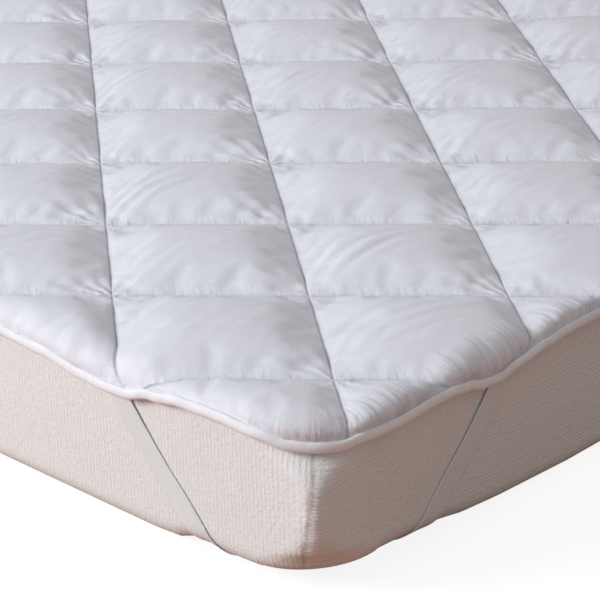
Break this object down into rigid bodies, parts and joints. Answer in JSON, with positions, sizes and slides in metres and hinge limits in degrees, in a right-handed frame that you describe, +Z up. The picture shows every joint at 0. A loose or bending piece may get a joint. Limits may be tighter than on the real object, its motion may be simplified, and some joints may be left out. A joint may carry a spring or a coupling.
{
  "type": "mattress topper on a mattress",
  "caption": "Diamond-quilted mattress topper with a bound edge and elastic corner straps, fitted over a plain foam mattress.",
  "frame": {"origin": "middle of the mattress's underside", "axes": "+X across the bed, +Y along the bed from the pictured corner's end, +Z up"},
  "size_m": [1.6303, 2.0283, 0.2215],
  "materials": {
    "mattress_knit": "cream ribbed knit mattress cover",
    "pad_cotton": "white plain woven cotton, quilted",
    "binding_cotton": "white cotton bias binding",
    "strap_elastic": "flat white woven elastic"
  },
  "bodies": {
    "root": {"mattress": "mattress_knit", "quilted_pad": "pad_cotton", "binding": "binding_cotton", "strap_near_left": "strap_elastic", "strap_near_right": "strap_elastic", "strap_far_right": "strap_elastic", "strap_far_left": "strap_elastic"}
  },
  "joints": []
}
